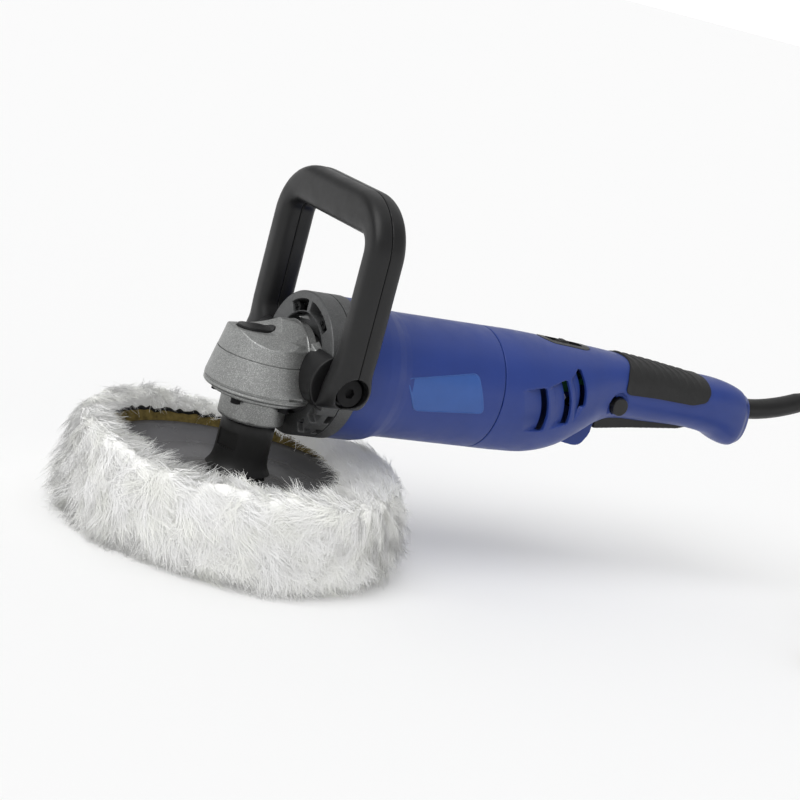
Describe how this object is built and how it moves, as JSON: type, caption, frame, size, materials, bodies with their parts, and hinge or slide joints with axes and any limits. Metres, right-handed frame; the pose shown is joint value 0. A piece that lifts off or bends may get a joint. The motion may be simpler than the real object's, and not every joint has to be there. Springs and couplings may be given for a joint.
{
  "type": "rotary polisher",
  "caption": "Corded rotary polisher: right-angle gear head with a tufted wool pad, a loop front handle, a motor body and a rear grip with a trigger.",
  "frame": {"origin": "centre of the wool pad's working face, on the spindle axis", "axes": "+Z along the spindle from the pad up to the gear head, +X from the spindle to the rear handle along the motor"},
  "size_m": [0.663, 0.3032, 0.239],
  "materials": {
    "cast_alloy": "sandblasted cast alloy",
    "bright_alloy": "fine turned alloy",
    "cast_alloy_dark": "cast alloy, darker",
    "dark_steel": "black oxide",
    "bearing_steel": "ground",
    "spring_steel": "drawn wire",
    "shaft_steel": "machined",
    "lamination_steel": "laminated",
    "copper_wire": "varnished copper",
    "brass": "pressed brass",
    "carbon": "pressed carbon",
    "black_plastic": "fine moulded grain",
    "handle_plastic": "satin moulded",
    "blue_plastic": "satin moulded",
    "label_blue": "blank label inlay",
    "rubber": "lip seal",
    "black_rubber": "soft moulded",
    "grip_rubber": "soft ribbed overmould",
    "plate_plastic": "semi-gloss moulded",
    "foam": "amber foam",
    "wool": "tufted wool",
    "circuit_green": "circuit board",
    "cord_black": "smooth jacket"
  },
  "bodies": {
    "root": {"gear_case": "cast_alloy", "bearing_cap": "bright_alloy", "cap_screws": "dark_steel", "spindle_seal": "rubber", "lower_bearing": "bearing_steel", "upper_bearing": "bearing_steel", "lock_spring": "spring_steel", "bearing_shield": "cast_alloy_dark", "case_screws": "dark_steel", "front_bearing": "bearing_steel", "rear_bearing": "bearing_steel", "motor_housing": "blue_plastic", "label_panel": "label_blue", "stator_core": "lamination_steel", "field_coils": "copper_wire", "brush_holders": "brass", "carbon_brushes": "carbon", "brush_springs": "spring_steel", "loop_handle_front": "handle_plastic", "loop_handle_rear": "handle_plastic", "loop_bolts": "dark_steel", "handle_shell_left": "blue_plastic", "handle_shell_right": "blue_plastic", "shell_screws": "dark_steel", "grip_left": "grip_rubber", "grip_right": "grip_rubber", "dial_bezel": "black_plastic", "speed_module": "circuit_green", "switch_body": "black_plastic", "trigger_pin": "spring_steel", "trigger_spring": "spring_steel", "cord_sleeve": "black_rubber", "cord_clamp": "black_plastic", "clamp_screws": "dark_steel", "cord": "cord_black", "cord_coil": "cord_black", "cord_tie": "black_plastic", "plug_body": "black_rubber", "plug_pins": "brass"},
    "spindle": {"spindle": "shaft_steel", "ring_gear": "shaft_steel", "gear_nut": "shaft_steel", "hub": "black_rubber", "backing_plate": "plate_plastic", "foam_disc": "foam", "wool_pad": "wool"},
    "rotor": {"armature_shaft": "shaft_steel", "pinion": "shaft_steel", "armature_core": "lamination_steel", "armature_windings": "copper_wire", "commutator": "copper_wire", "cooling_fan": "black_plastic"},
    "lock_button": {"lock_button": "black_plastic"},
    "trigger": {"trigger": "black_plastic"},
    "lock_on_button": {"lock_on_button": "black_plastic"},
    "speed_dial": {"speed_dial": "black_plastic"}
  },
  "joints": [
    {"name": "spindle_spin", "type": "hinge", "parent": "root", "child": "spindle", "pos_m": [0, 0, 0.118], "axis": [0, 0, 1], "continuous": true},
    {"name": "motor_spin", "type": "hinge", "parent": "root", "child": "rotor", "pos_m": [0, 0, 0.118], "axis": [1, 0, 0], "continuous": true},
    {"name": "lock_press", "type": "slide", "parent": "root", "child": "lock_button", "axis": [0, 0, -1], "range_m": [0, 0.003], "stiffness_N_per_m": 600, "springref_m": -0.003, "deforming": ["lock_spring"]},
    {"name": "trigger_pull", "type": "hinge", "parent": "root", "child": "trigger", "pos_m": [0.338, 0, 0.1136], "axis": [0, 1, 0], "range_deg": [0, 5], "stiffness_Nm_per_rad": 3, "springref_deg": -5.73, "deforming": ["trigger_spring"]},
    {"name": "lock_on_press", "type": "slide", "parent": "root", "child": "lock_on_button", "axis": [0, 1, 0], "range_m": [0, 0.003], "stiffness_N_per_m": 400, "springref_m": -0.002},
    {"name": "dial_turn", "type": "hinge", "parent": "root", "child": "speed_dial", "pos_m": [0.2205, 0, 0.1516], "axis": [0, 1, 0], "range_deg": [0, 270]}
  ],
  "couplings": [
    {"joint": "motor_spin", "follows": "spindle_spin", "ratio": 4}
  ]
}
